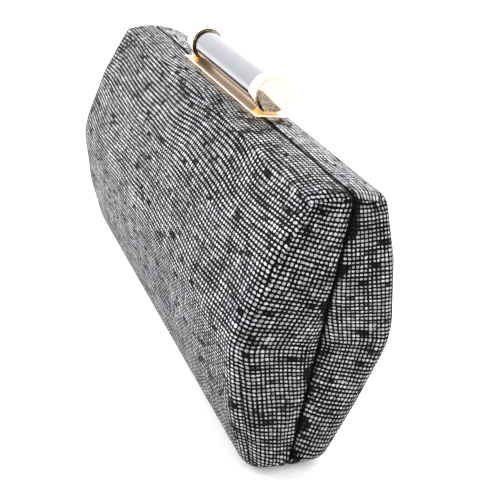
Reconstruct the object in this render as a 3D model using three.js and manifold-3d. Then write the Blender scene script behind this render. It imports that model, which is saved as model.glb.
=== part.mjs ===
import * as THREE from 'three';
import { ConvexGeometry } from 'three/addons/geometries/ConvexGeometry.js';
import { mergeVertices } from 'three/addons/utils/BufferGeometryUtils.js';
import Module from 'manifold-3d';

// A hard-sided box bag. X runs along its length, -Y is the front, Z is up from the
// face that it stands on. Millimetres. The two half shells mirror each other across
// the seam, which lies in the plane Y = 0.

const wasm = await Module();
wasm.setup();

// Case, over the covering
const CASE_HEIGHT = 106; // floor to the lips of the seam
const CASE_DEPTH = 60.4; // front bulge to back bulge
const BULGE_HEIGHT = 53; // where the front and back panels bend
const SEAM_TOP_LENGTH = 200;
const SEAM_BOTTOM_LENGTH = 202;
const SHOULDER_DROP = 1.6; // the top edges lie this far below the lips
const SHOULDER_DEPTH = 30; // over the two top edges
const SHOULDER_LENGTH = 198;
const FOOT_DEPTH = 36; // over the two bottom edges
const FOOT_LENGTH = 206;
const LIP_RADIUS = 1.5;
const SHOULDER_RADIUS = 3;
const BULGE_RADIUS = 7;
const BULGE_SPREAD = 6; // the bend is eased this far up and down
const BULGE_EASE = 0.8; // how much shallower the panels are there
const FOOT_RADIUS = 9;
const UPPER_CROWN = 1.8; // padding under the front and back panels, above the bend
const LOWER_CROWN = 1.6; // and below it
const TOP_CROWN = 0.6; // padding under the top panels
const WALL = 2;
const SEAM_GAP = 0.8;

// Rims set inside the mouths of the shells
const FRAME_THICKNESS = 1.2;
const FRAME_DEPTH = 8;
const FRAME_GAP = 0.3; // between the two rims

// Hinge along the bottom of the seam
const CASE_HINGE_RADIUS = 1.3;
const CASE_HINGE_LENGTH = 150;
const CASE_HINGE_CLEARANCE = 0.45;
const CASE_HINGE_LIFT = 0.3; // floor to the underside of the barrel

// Clasp
const PLATE_LENGTH = 75;
const PLATE_WIDTH = 12.4;
const PLATE_HEIGHT = 2;
const PLATE_CHAMFER = 0.45;
const CAP_RADIUS = 7;
const CAP_LENGTH = 6.2;
const CAP_INSET = 1.6; // plate end to cap end
const CAP_FLAT = 0.5; // taken off the cap where it sits on the plate
const CAP_EDGE = 0.5;
const CAP_DOME = 0.4;
const ROD_RADIUS = 5.8;
const SOCKET_DEPTH = 2.4;

// Hinge behind the clasp plate
const KNUCKLE_RADIUS = 1.2;
const KNUCKLE_LENGTH = 6;
const BARREL_LENGTH = 24;
const PIN_RADIUS = 0.5;
const LEAF_THICKNESS = 0.8;
const LEAF_WIDTH = 5;

// Between pieces that lie on or in each other
const FIT = 0.3;

const BALL_SEGMENTS = 12;
const BALL_RINGS = 6;
const MIN_BALL_RADIUS = 0.4;
const ROUND_SEGMENTS = 32;
const PIN_SEGMENTS = 16;
const MOUTH_OVERRUN = 3; // how far cutting forms run past the seam
const CUT_MARGIN = 1;

const covering = new THREE.MeshStandardMaterial({ color: 0x4a4a50, roughness: 0.55 });
const blackMetal = new THREE.MeshStandardMaterial({ color: 0x0c0c0d, roughness: 0.5, metalness: 0.6 });
const gold = new THREE.MeshStandardMaterial({ color: 0xf0cda8, roughness: 0.12, metalness: 1 });
const darkRod = new THREE.MeshStandardMaterial({ color: 0x8f929a, roughness: 0.12, metalness: 1 });

// Boolean helpers

function toSolid(geometry) {
  const bare = geometry.clone();
  bare.deleteAttribute('normal');
  if (bare.getAttribute('uv')) {
    bare.deleteAttribute('uv');
  }
  const merged = mergeVertices(bare, 1e-4);
  return new wasm.Manifold(new wasm.Mesh({
    numProp: 3,
    vertProperties: new Float32Array(merged.getAttribute('position').array),
    triVerts: new Uint32Array(merged.getIndex().array),
  }));
}

function toGeometry(solid) {
  const mesh = solid.getMesh();
  const geometry = new THREE.BufferGeometry();
  geometry.setAttribute('position', new THREE.BufferAttribute(mesh.vertProperties, 3));
  geometry.setIndex(new THREE.BufferAttribute(mesh.triVerts, 1));
  return geometry;
}

function named(name, geometry, material) {
  const mesh = new THREE.Mesh(geometry, material);
  mesh.name = name;
  return mesh;
}

// A box between two corners
function boxBetween(low, high) {
  const size = new THREE.Vector3(high[0] - low[0], high[1] - low[1], high[2] - low[2]);
  const geometry = new THREE.BoxGeometry(size.x, size.y, size.z);
  geometry.translate((low[0] + high[0]) / 2, (low[1] + high[1]) / 2, (low[2] + high[2]) / 2);
  return geometry;
}

// A cylinder along X
function roundBar(radius, length, centreY, centreZ, segments) {
  const geometry = new THREE.CylinderGeometry(radius, radius, length, segments);
  geometry.rotateZ(Math.PI / 2);
  geometry.translate(0, centreY, centreZ);
  return geometry;
}

// Case form: the hull of one ball at each corner, edge and crown of a half shell

const ballDirections = [new THREE.Vector3(0, 0, 1), new THREE.Vector3(0, 0, -1)];
for (let ring = 1; ring < BALL_RINGS; ring += 1) {
  const polar = (Math.PI * ring) / BALL_RINGS;
  for (let step = 0; step < BALL_SEGMENTS; step += 1) {
    const around = (2 * Math.PI * step) / BALL_SEGMENTS;
    const reach = Math.sin(polar);
    ballDirections.push(
      new THREE.Vector3(reach * Math.cos(around), reach * Math.sin(around), Math.cos(polar)),
    );
  }
}

function endAt(height) {
  const share = height / (CASE_HEIGHT - SHOULDER_DROP);
  return THREE.MathUtils.lerp(FOOT_LENGTH, SHOULDER_LENGTH, share) / 2;
}

function seamEndAt(height) {
  return THREE.MathUtils.lerp(SEAM_BOTTOM_LENGTH, SEAM_TOP_LENGTH, height / CASE_HEIGHT) / 2;
}

// up is 1 on a top ball, -1 on a bottom ball and 0 between them
function edgeBall(depth, height, radius, up) {
  return { depth: depth - radius, height: height - up * radius, radius, up };
}

function crownBall(above, below, crown) {
  return {
    depth: (above.depth + below.depth) / 2,
    height: (above.height + below.height) / 2,
    radius: (above.radius + below.radius) / 2 + crown,
    up: 0,
  };
}

const lipDepth = SEAM_GAP / 2 + 2 * LIP_RADIUS;
const topLip = { ...edgeBall(lipDepth, CASE_HEIGHT, LIP_RADIUS, 1), lip: true };
const bottomLip = { ...edgeBall(lipDepth, 0, LIP_RADIUS, -1), lip: true };
const shoulder = edgeBall(SHOULDER_DEPTH / 2, CASE_HEIGHT - SHOULDER_DROP, SHOULDER_RADIUS, 1);
const bulge = edgeBall(CASE_DEPTH / 2, BULGE_HEIGHT, BULGE_RADIUS, 0);
const bulgeTop = edgeBall(CASE_DEPTH / 2 - BULGE_EASE, BULGE_HEIGHT + BULGE_SPREAD, BULGE_RADIUS, 0);
const bulgeFoot = edgeBall(CASE_DEPTH / 2 - BULGE_EASE, BULGE_HEIGHT - BULGE_SPREAD, BULGE_RADIUS, 0);
const foot = edgeBall(FOOT_DEPTH / 2, 0, FOOT_RADIUS, -1);
const roof = { ...crownBall(topLip, shoulder, TOP_CROWN), up: 1 };
const outline = [
  topLip,
  roof,
  shoulder,
  crownBall(shoulder, bulgeTop, UPPER_CROWN),
  bulgeTop,
  bulge,
  bulgeFoot,
  crownBall(bulgeFoot, foot, LOWER_CROWN),
  foot,
  bottomLip,
];

// side is -1 for the front half and 1 for the back half. An inset form is the case's
// form moved in on every face but the mouth, where it runs past the seam.
function halfForm(side, inset) {
  const points = [];
  for (const ball of outline) {
    const radius = Math.max(ball.radius - inset, MIN_BALL_RADIUS);
    const pull = inset + radius - ball.radius;
    const depth = ball.lip && inset > 0 ? -MOUTH_OVERRUN : ball.depth - pull;
    const height = ball.height - pull * ball.up;
    const reach = (ball.lip ? seamEndAt(ball.height) : endAt(ball.height)) - ball.radius - pull;
    for (const end of [-1, 1]) {
      const centre = new THREE.Vector3(end * reach, side * depth, height);
      for (const direction of ballDirections) {
        points.push(centre.clone().addScaledVector(direction, radius));
      }
    }
  }
  return new ConvexGeometry(points);
}

const caseHingeAxis = CASE_HINGE_LIFT + CASE_HINGE_RADIUS;
const frameFace = WALL + FIT;
const frameInside = frameFace + FRAME_THICKNESS;

// The slot along the bottom of the seam that takes the hinge's barrel
function hingeSlot() {
  const halfLength = CASE_HINGE_LENGTH / 2 + CASE_HINGE_CLEARANCE;
  const halfWidth = CASE_HINGE_RADIUS + CASE_HINGE_CLEARANCE;
  return toSolid(boxBetween(
    [-halfLength, -halfWidth, -CUT_MARGIN],
    [halfLength, halfWidth, frameInside + CUT_MARGIN],
  ));
}

function shell(name, side) {
  const solid = toSolid(halfForm(side, 0))
    .subtract(toSolid(halfForm(side, WALL)))
    .subtract(hingeSlot());
  return named(name, toGeometry(solid), covering);
}

function frame(name, side) {
  const near = (side * FRAME_GAP) / 2;
  const far = side * FRAME_DEPTH;
  const slab = boxBetween(
    [-FOOT_LENGTH, Math.min(near, far), -CUT_MARGIN],
    [FOOT_LENGTH, Math.max(near, far), CASE_HEIGHT + CUT_MARGIN],
  );
  const solid = toSolid(halfForm(side, frameFace))
    .subtract(toSolid(halfForm(side, frameInside)))
    .intersect(toSolid(slab))
    .subtract(hingeSlot());
  return named(name, toGeometry(solid), blackMetal);
}

function caseHinge() {
  const barrel = roundBar(CASE_HINGE_RADIUS, CASE_HINGE_LENGTH, 0, caseHingeAxis, PIN_SEGMENTS);
  return named('case_hinge', barrel, blackMetal);
}

// Clasp

const plateBase = CASE_HEIGHT + FIT;
const plateTop = plateBase + PLATE_HEIGHT;
const claspAxisY = PLATE_WIDTH / 2 + KNUCKLE_RADIUS + FIT;
const claspAxisZ = plateTop - KNUCKLE_RADIUS;
const rodAxisZ = plateTop + FIT + CAP_RADIUS - CAP_FLAT;
const capEnd = PLATE_LENGTH / 2 - CAP_INSET;

function claspPlate() {
  const rows = [
    { height: plateBase, inset: 0 },
    { height: plateTop - PLATE_CHAMFER, inset: 0 },
    { height: plateTop, inset: PLATE_CHAMFER },
  ];
  const corners = [];
  for (const row of rows) {
    for (const end of [-1, 1]) {
      for (const side of [-1, 1]) {
        const x = end * (PLATE_LENGTH / 2 - row.inset);
        const y = side * (PLATE_WIDTH / 2 - row.inset);
        corners.push(new THREE.Vector3(x, y, row.height));
      }
    }
  }
  let solid = toSolid(new ConvexGeometry(corners));
  const knuckleCentre = BARREL_LENGTH / 2 + FIT + KNUCKLE_LENGTH / 2;
  for (const end of [-1, 1]) {
    const knuckle = roundBar(KNUCKLE_RADIUS, KNUCKLE_LENGTH, claspAxisY, claspAxisZ, PIN_SEGMENTS);
    const neck = boxBetween(
      [-KNUCKLE_LENGTH / 2, PLATE_WIDTH / 2 - CUT_MARGIN, claspAxisZ - KNUCKLE_RADIUS],
      [KNUCKLE_LENGTH / 2, claspAxisY, claspAxisZ],
    );
    const bore = roundBar(PIN_RADIUS + FIT, KNUCKLE_LENGTH + 1, claspAxisY, claspAxisZ, PIN_SEGMENTS);
    for (const piece of [knuckle, neck, bore]) {
      piece.translate(end * knuckleCentre, 0, 0);
    }
    solid = solid.add(toSolid(knuckle)).add(toSolid(neck)).subtract(toSolid(bore));
  }
  return named('clasp_plate', toGeometry(solid), gold);
}

// Leaf, barrel and pin in one; the leaf lies on the slope of the back top panel
function claspHinge() {
  const rise = roof.height + roof.radius - (shoulder.height + shoulder.radius);
  const slope = Math.atan2(rise, shoulder.depth - roof.depth);
  const pinLength = BARREL_LENGTH + 2 * (FIT + KNUCKLE_LENGTH);
  const leaf = boxBetween([-BARREL_LENGTH / 2, 0, 0], [BARREL_LENGTH / 2, LEAF_WIDTH, LEAF_THICKNESS]);
  leaf.rotateX(-slope);
  const panelAtAxis = roof.height + roof.radius - Math.tan(slope) * (claspAxisY - roof.depth);
  leaf.translate(0, claspAxisY, panelAtAxis + FIT / Math.cos(slope));
  const barrel = roundBar(KNUCKLE_RADIUS, BARREL_LENGTH, claspAxisY, claspAxisZ, PIN_SEGMENTS);
  const pin = roundBar(PIN_RADIUS, pinLength, claspAxisY, claspAxisZ, PIN_SEGMENTS);
  const solid = toSolid(barrel).add(toSolid(pin)).add(toSolid(leaf));
  return named('clasp_hinge', toGeometry(solid), gold);
}

// A turned cap: its socket opens at 0 and its domed end is at CAP_LENGTH
function claspCap(name, end) {
  const socketRadius = ROD_RADIUS + FIT;
  const faceRadius = CAP_RADIUS - CAP_EDGE;
  const profile = [
    new THREE.Vector2(0, SOCKET_DEPTH),
    new THREE.Vector2(socketRadius, SOCKET_DEPTH),
    new THREE.Vector2(socketRadius, 0),
    new THREE.Vector2(faceRadius, 0),
    new THREE.Vector2(CAP_RADIUS, CAP_EDGE),
    new THREE.Vector2(CAP_RADIUS, CAP_LENGTH - CAP_DOME - CAP_EDGE),
    new THREE.Vector2(faceRadius, CAP_LENGTH - CAP_DOME),
    new THREE.Vector2(faceRadius / 2, CAP_LENGTH - CAP_DOME / 4),
    new THREE.Vector2(0, CAP_LENGTH),
  ];
  const turned = new THREE.LatheGeometry(profile, ROUND_SEGMENTS);
  turned.rotateZ((-end * Math.PI) / 2);
  turned.translate(end * (capEnd - CAP_LENGTH), 0, rodAxisZ);
  const below = boxBetween(
    [-PLATE_LENGTH, -CAP_RADIUS, plateTop + FIT - CAP_RADIUS],
    [PLATE_LENGTH, CAP_RADIUS, plateTop + FIT],
  );
  return named(name, toGeometry(toSolid(turned).subtract(toSolid(below))), gold);
}

function claspRod() {
  const length = 2 * (capEnd - CAP_LENGTH + SOCKET_DEPTH - FIT);
  return named('clasp_rod', roundBar(ROD_RADIUS, length, 0, rodAxisZ, ROUND_SEGMENTS), darkRod);
}

// Assembly

const front = new THREE.Group();
front.add(shell('front_shell', -1), frame('front_frame', -1), caseHinge());

const back = new THREE.Group();
back.add(shell('back_shell', 1), frame('back_frame', 1), claspHinge());

const clasp = new THREE.Group();
clasp.add(claspPlate(), claspRod(), claspCap('clasp_cap_left', -1), claspCap('clasp_cap_right', 1));
back.add(clasp);

const group = new THREE.Group();
group.add(front, back);

export default group;
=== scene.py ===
import math
import bmesh
import bpy
import numpy as np
from mathutils import Matrix, Vector
from mathutils.bvhtree import BVHTree


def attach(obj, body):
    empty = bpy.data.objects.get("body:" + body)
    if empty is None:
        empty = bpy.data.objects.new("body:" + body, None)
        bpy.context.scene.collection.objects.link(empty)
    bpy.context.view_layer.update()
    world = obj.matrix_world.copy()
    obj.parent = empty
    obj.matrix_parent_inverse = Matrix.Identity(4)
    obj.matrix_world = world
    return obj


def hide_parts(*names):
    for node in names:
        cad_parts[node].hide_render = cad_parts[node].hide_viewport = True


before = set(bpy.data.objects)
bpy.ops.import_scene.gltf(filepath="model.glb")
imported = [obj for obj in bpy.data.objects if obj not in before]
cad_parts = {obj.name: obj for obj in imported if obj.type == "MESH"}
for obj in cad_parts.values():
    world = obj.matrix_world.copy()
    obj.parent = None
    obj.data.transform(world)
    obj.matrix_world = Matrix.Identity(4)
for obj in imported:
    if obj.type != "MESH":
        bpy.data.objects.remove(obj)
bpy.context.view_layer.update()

# Table, room and camera.
# The bag stands on a white table in a white room that is brightest high up on the far side. The camera
# looks down along the bag from above its near end, and is tilted a little to one side.
MM = 0.001
BRIGHT_WAY = (-0.76, 0.33, 0.58)
SKY_DIM = 0.4
SKY_BRIGHT = 2.25
TABLE_GLOW = 0.42
camera_turn = math.radians(62.035)
camera_rise = math.radians(25.718)
camera_tilt = math.radians(11.210)
camera_place = Vector((288.03, -135.75, 195.16)) * MM
camera_focus_pixels = 827.3
camera_data = bpy.data.cameras.new("camera")
camera_data.sensor_fit = "HORIZONTAL"
camera_data.sensor_width = 36
camera_data.lens = camera_focus_pixels / 480 * 36
camera_data.clip_start = 0.01
camera = bpy.data.objects.new("camera", camera_data)
bpy.context.scene.collection.objects.link(camera)
camera_back = Vector(
    (
        math.sin(camera_turn) * math.cos(camera_rise),
        -math.cos(camera_turn) * math.cos(camera_rise),
        math.sin(camera_rise),
    )
)
level_right = (-camera_back).cross(Vector((0, 0, 1))).normalized()
level_up = level_right.cross(-camera_back)
tilted_right = math.cos(camera_tilt) * level_right + math.sin(camera_tilt) * level_up
tilted_up = -math.sin(camera_tilt) * level_right + math.cos(camera_tilt) * level_up
camera_axes = Matrix((tilted_right, tilted_up, camera_back)).transposed().to_4x4()
camera.matrix_world = Matrix.Translation(camera_place) @ camera_axes
bpy.context.scene.camera = camera
bpy.context.scene.view_settings.view_transform = "Standard"
bpy.context.scene.view_settings.look = "None"


def put_in_scene(name, mesh):
    thing = bpy.data.objects.new(name, mesh)
    bpy.context.scene.collection.objects.link(thing)
    return thing


def new_finish(name):
    """A material with its shader, ready to be given a finish."""
    material = bpy.data.materials.new(name)
    material.use_nodes = True
    shader = material.node_tree.nodes["Principled BSDF"]
    return material, material.node_tree, shader


def add_node(tree, kind, settings=None, inputs=None):
    """A node with its settings made, and its inputs set to a value or joined to another socket."""
    node = tree.nodes.new(kind)
    for key, value in (settings or {}).items():
        setattr(node, key, value)
    for key, value in (inputs or {}).items():
        if isinstance(value, bpy.types.NodeSocket):
            tree.links.new(value, node.inputs[key])
        else:
            node.inputs[key].default_value = value
    return node


def maths(tree, operation, *values, clamp=False):
    node = add_node(tree, "ShaderNodeMath", {"operation": operation, "use_clamp": clamp})
    for place, value in enumerate(values):
        if isinstance(value, bpy.types.NodeSocket):
            tree.links.new(value, node.inputs[place])
        else:
            node.inputs[place].default_value = value
    return node.outputs[0]


def noise(tree, place, scale, detail=1.0, roughness=0.5):
    """A cloudy noise's node, whose outputs are Fac and Color."""
    inputs = {"Vector": place, "Scale": scale, "Detail": detail, "Roughness": roughness}
    return add_node(tree, "ShaderNodeTexNoise", None, inputs)


def ramp(tree, value, low, high, to_low, to_high, kind="LINEAR"):
    """Lays a value's range over another range, held at both ends."""
    inputs = {"Value": value, "From Min": low, "From Max": high, "To Min": to_low, "To Max": to_high}
    return add_node(tree, "ShaderNodeMapRange", {"interpolation_type": kind}, inputs).outputs[0]


def tint(tree, share, none, full):
    """A colour between two colours."""
    inputs = {"Factor": share, "A": (*none, 1), "B": (*full, 1)}
    return add_node(tree, "ShaderNodeMix", {"data_type": "RGBA"}, inputs).outputs["Result"]


def bump(tree, height, distance, strength):
    """The direction of a surface that a height raises."""
    inputs = {"Height": height, "Distance": distance, "Strength": strength}
    return add_node(tree, "ShaderNodeBump", None, inputs).outputs[0]


table_mesh = bpy.data.meshes.new("table")
table_mesh.from_pydata([(-6, -6, 0), (6, -6, 0), (6, 6, 0), (-6, 6, 0)], [], [(0, 1, 2, 3)])
table = put_in_scene("table", table_mesh)
table_white, table_tree, table_shader = new_finish("table_white")
table_place = add_node(table_tree, "ShaderNodeTexCoord").outputs["Object"]
table_cloud = noise(table_tree, table_place, 3.0, 2.0).outputs["Fac"]
table_shade = ramp(table_tree, table_cloud, 0, 1, 0.90, 0.93)
table_tree.links.new(table_shade, table_shader.inputs["Base Color"])
table_shader.inputs["Roughness"].default_value = 0.6
# The table glows a little under the bag's far end, so its shadow stays faint there.
table_side = add_node(table_tree, "ShaderNodeSeparateXYZ", None, {"Vector": table_place})
table_glow = ramp(table_tree, table_side.outputs["X"], -0.05, 0.2, TABLE_GLOW, 0.0)
table_tree.links.new(table_glow, table_shader.inputs["Emission Color"])
table_shader.inputs["Emission Strength"].default_value = 1.0
table_mesh.materials.append(table_white)

room = bpy.data.worlds.new("white_room")
room.use_nodes = True
room_back = room.node_tree.nodes["Background"]
room_back.inputs["Color"].default_value = (1.0, 1.0, 1.0, 1)
room_way = add_node(room.node_tree, "ShaderNodeTexCoord").outputs["Generated"]
room_side = add_node(
    room.node_tree, "ShaderNodeVectorMath", {"operation": "DOT_PRODUCT"}, {0: room_way}
)
room_side.inputs[1].default_value = Vector(BRIGHT_WAY).normalized()
room_light = ramp(
    room.node_tree, room_side.outputs["Value"], -0.8, 1.0, SKY_DIM, SKY_BRIGHT, "SMOOTHSTEP"
)
room.node_tree.links.new(room_light, room_back.inputs["Strength"])
bpy.context.scene.world = room


def soft_lamp(name, place, aim, size, power):
    data = bpy.data.lights.new(name, "AREA")
    data.shape = "DISK"
    data.size = size
    data.energy = power
    lamp = put_in_scene(name, data)
    lamp.location = place
    lamp.rotation_euler = (Vector(aim) - Vector(place)).to_track_quat("-Z", "Y").to_euler()
    return lamp


soft_lamp("lamp_above", (0.1, 0.2, 1.7), (0, 0, 0), 1.6, 4)
soft_lamp("lamp_front", (-0.28, -0.50, 0.30), (-0.05, 0, 0.05), 0.3, 2.5)

# Case rims.
# Each half of the case has a thin black steel rim inside its mouth. It is a flat strip bent round the
# mouth's outline, and its rounded edge is what shows as the dark seam. The shell is glued over it.
CASE_HEIGHT = 106.0
SEAM_TOP_LENGTH = 200.0
SEAM_BOTTOM_LENGTH = 202.0
RIM_THICKNESS = 1.2
RIM_DEPTH = 7.85
RIM_INSET = 2.3
RIM_FROM_SEAM = 0.15
RIM_EDGE_ROUNDING = 0.4
SEAM_TOP_ROUNDING = 3.6
SEAM_BOTTOM_ROUNDING = 5.5


def seam_end(height):
    """Half the length of the seam's outline at a height."""
    return (SEAM_BOTTOM_LENGTH + (SEAM_TOP_LENGTH - SEAM_BOTTOM_LENGTH) * height / CASE_HEIGHT) / 2


def mouth_outline(inset, steps=8):
    """The seam's outline moved in by inset, as points (x, z) from the top's left, with round corners."""
    corners = (
        (1, 1, SEAM_TOP_ROUNDING, 90),
        (1, -1, SEAM_BOTTOM_ROUNDING, 0),
        (-1, -1, SEAM_BOTTOM_ROUNDING, -90),
        (-1, 1, SEAM_TOP_ROUNDING, 180),
    )
    points = []
    for side, up, rounding, first in corners:
        height = CASE_HEIGHT - rounding if up > 0 else rounding
        middle = seam_end(height) - rounding
        for turn in range(steps + 1):
            angle = math.radians(first - 90 * turn / steps)
            reach = rounding - inset
            points.append(
                (side * middle + reach * math.cos(angle), height + reach * math.sin(angle))
            )
    return points


def group_input(tree, name, kind, default=None):
    socket = tree.interface.new_socket(name=name, in_out="INPUT", socket_type=kind)
    if default is not None:
        socket.default_value = default
    return socket


def shape_tree(name):
    """An empty Geometry Nodes tree that takes a mesh and gives a mesh."""
    tree = bpy.data.node_groups.new(name, "GeometryNodeTree")
    tree.is_modifier = True
    group_input(tree, "Geometry", "NodeSocketGeometry")
    tree.interface.new_socket(name="Geometry", in_out="OUTPUT", socket_type="NodeSocketGeometry")
    return tree


def close_shape_tree(tree, geometry, material_socket):
    """Ends a tree in real faces with their material."""
    real = add_node(tree, "GeometryNodeRealizeInstances", None, {"Geometry": geometry})
    coated = add_node(
        tree, "GeometryNodeSetMaterial", None, {"Geometry": real.outputs[0], "Material": material_socket}
    )
    end = add_node(tree, "NodeGroupOutput")
    tree.links.new(coated.outputs[0], end.inputs[0])


def grown_from(name, mesh, tree, settings):
    """The plain mesh that a Geometry Nodes tree makes of a mesh, as an object."""
    piece = put_in_scene(name, mesh)
    modifier = piece.modifiers.new("shape", "NODES")
    modifier.node_group = tree
    for item in tree.interface.items_tree:
        if item.in_out == "INPUT" and item.name in settings:
            modifier[item.identifier] = settings[item.name]
    depsgraph = bpy.context.evaluated_depsgraph_get()
    grown = bpy.data.meshes.new_from_object(piece.evaluated_get(depsgraph), depsgraph=depsgraph)
    piece.modifiers.clear()
    piece.data = grown
    grown.name = name
    return piece


def grain_finish(material, tree, shader, colour_low, colour_high, rough_low, rough_high, scale, relief):
    """Gives a plain material a little unevenness of colour, gloss and surface."""
    place = add_node(tree, "ShaderNodeTexCoord").outputs["Object"]
    cloud = noise(tree, place, scale, 3.0, 0.6).outputs["Fac"]
    tree.links.new(tint(tree, cloud, colour_low, colour_high), shader.inputs["Base Color"])
    tree.links.new(ramp(tree, cloud, 0, 1, rough_low, rough_high), shader.inputs["Roughness"])
    grit = noise(tree, place, scale * 12, 2.0).outputs["Fac"]
    tree.links.new(bump(tree, grit, relief, 0.5), shader.inputs["Normal"])


rim_black, rim_tree_nodes, rim_shader = new_finish("rim_black")
grain_finish(
    rim_black, rim_tree_nodes, rim_shader,
    (0.003, 0.003, 0.003), (0.007, 0.007, 0.007), 0.45, 0.6, 150, 0.00002,
)
rim_shader.inputs["Specular IOR Level"].default_value = 0.15

rim_tree = shape_tree("strip_bent_round_the_mouth")
group_input(rim_tree, "Depth", "NodeSocketFloat", 0.008)
group_input(rim_tree, "Thickness", "NodeSocketFloat", 0.0012)
group_input(rim_tree, "Edge rounding", "NodeSocketFloat", 0.0004)
group_input(rim_tree, "Material", "NodeSocketMaterial")
rim_start = add_node(rim_tree, "NodeGroupInput")
rim_path = add_node(rim_tree, "GeometryNodeMeshToCurve", None, {"Mesh": rim_start.outputs["Geometry"]})
rim_flat = add_node(rim_tree, "GeometryNodeSetCurveNormal", None, {"Curve": rim_path.outputs[0]})
rim_flat.mode = "Z_UP"
rim_section = add_node(
    rim_tree,
    "GeometryNodeCurvePrimitiveQuadrilateral",
    None,
    {"Width": rim_start.outputs["Thickness"], "Height": rim_start.outputs["Depth"]},
)
rim_round = add_node(
    rim_tree,
    "GeometryNodeFilletCurve",
    None,
    {"Curve": rim_section.outputs[0], "Radius": rim_start.outputs["Edge rounding"]},
)
rim_round.mode = "POLY"
rim_round.inputs["Count"].default_value = 3
rim_strip = add_node(
    rim_tree,
    "GeometryNodeCurveToMesh",
    None,
    {"Curve": rim_flat.outputs[0], "Profile Curve": rim_round.outputs[0]},
)
rim_upright = add_node(
    rim_tree,
    "GeometryNodeTransform",
    None,
    {"Geometry": rim_strip.outputs[0], "Rotation": (math.radians(90), 0, 0)},
)
close_shape_tree(rim_tree, rim_upright.outputs[0], rim_start.outputs["Material"])


def clean_up(mesh):
    """Merges a mesh's doubled points and removes its empty faces."""
    shape = bmesh.new()
    shape.from_mesh(mesh)
    bmesh.ops.remove_doubles(shape, verts=shape.verts, dist=0.000002)
    bmesh.ops.dissolve_degenerate(shape, edges=shape.edges, dist=0.000002)
    shape.to_mesh(mesh)
    shape.free()


def smooth_by_angle(mesh, degrees=35):
    """Smooth shading that keeps the edges sharper than an angle."""
    mesh.polygons.foreach_set("use_smooth", [True] * len(mesh.polygons))
    shape = bmesh.new()
    shape.from_mesh(mesh)
    for edge in shape.edges:
        edge.smooth = edge.calc_face_angle(0) < math.radians(degrees)
    shape.to_mesh(mesh)
    shape.free()


for rim_side, rim_body in ((-1, "front"), (1, "back")):
    rim_middle = rim_side * (RIM_FROM_SEAM + RIM_DEPTH / 2)
    rim_line = [(x * MM, z * MM, 0) for x, z in mouth_outline(RIM_INSET + RIM_THICKNESS / 2)]
    rim_mesh = bpy.data.meshes.new("mouth_line")
    rim_mesh.from_pydata(
        rim_line, [(n, (n + 1) % len(rim_line)) for n in range(len(rim_line))], []
    )
    rim = grown_from(
        rim_body + "_rim",
        rim_mesh,
        rim_tree,
        {
            "Depth": RIM_DEPTH * MM,
            "Thickness": RIM_THICKNESS * MM,
            "Edge rounding": RIM_EDGE_ROUNDING * MM,
            "Material": rim_black,
        },
    )
    rim.data.transform(Matrix.Translation((0, rim_middle * MM, 0)))
    smooth_by_angle(rim.data, 50)
    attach(rim, rim_body)
    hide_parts(rim_body + "_frame")

# Covered shells.
# Each half is a moulded board shell, 2 mm thick, with thin foam and a black cross-grained skin glued
# over it. The skin carries silver-grey dabs printed in rows and columns, and is turned over the lips.
# Its panels are slightly crowned, and its rows and columns run on from panel to panel.
CASE_DEPTH = 60.4
BULGE_HEIGHT = 53.0
SHOULDER_DROP = 1.6
SHOULDER_DEPTH = 30.0
SHOULDER_LENGTH = 198.0
FOOT_DEPTH = 36.0
FOOT_LENGTH = 206.0
LIP_RADIUS = 1.1
SHOULDER_RADIUS = 3.0
BULGE_RADIUS = 7.0
BULGE_SPREAD = 6.0
BULGE_EASE = 0.8
FOOT_RADIUS = 9.0
UPPER_CROWN = 1.8
LOWER_CROWN = 1.6
TOP_CROWN = 0.6
SEAM_GAP = 0.8
WALL = 2.0
TOP_CORNER = 3.2
BOTTOM_CORNER = 4.0
HINGE_SLOT_HALF = 75.45
HINGE_SLOT_DEPTH = 1.75
FOOT_LIP_EASE = 0.35
INNER_LIP_RADIUS = 0.5
LIP_TURNS = (15, 30, 45, 60, 75, 90)
INNER_LIP_TURNS = (30, 60, 90)
COLUMN_PITCH = 1.78
ROW_PITCH = 1.65
PRINT_CLIMB = 107.9
END_PITCH = 1.9
TOP_ROWS = 9
# Along the height of the end panels: the pitch of their columns, and how far their rows climb.
FRONT_END_PITCHES = ((0, 50, 75, 104.4), (1.9, 1.8, 1.95, 1.66))
FRONT_END_CLIMB = ((0, 25, 50, 75, 85, 104.4), (1.0, 1.3, 2.2, 3.0, 2.8, 2.6))
BACK_END_CLIMB = ((0, 25, 50, 75, 104.4), (-2.4, -3.0, -3.4, 0, 2.2))
END_FOLD = ((0, 12, 88, 104.4), (-2.0, 0, 0, 1.2))
# Each panel's print starts at a cell of its own, so that no two panels wear the same marks.
PANEL_SHIFT = {"top": 200, "bottom": 300, "right": 100, "left": 400}
BACK_SHIFT = 500
WARP_SEEDS = (3, 5, 8)
WARP_COUNT = 14
WARP_LONGEST = 110
WARP_SHORTEST = 22
WARP_LIFT = 0.004
# How much of the dabs fades step by step over the lip, where the print stops and painted seam shade darkens
# it, and how much the dabs grow on the top panels as painted sheen.
LIP_PRINT_AND_SHADE_FADE = (0.0, 0.2, 0.6, 0.9)
TOP_SHEEN_GROWTH = {-1: 0.4, 1: 1.3}
CLEAR_OF_LIP = 50.0


def panel_end(height):
    """Half the length of a half's front panel at a height."""
    share = height / (CASE_HEIGHT - SHOULDER_DROP)
    return (FOOT_LENGTH + (SHOULDER_LENGTH - FOOT_LENGTH) * share) / 2


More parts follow.
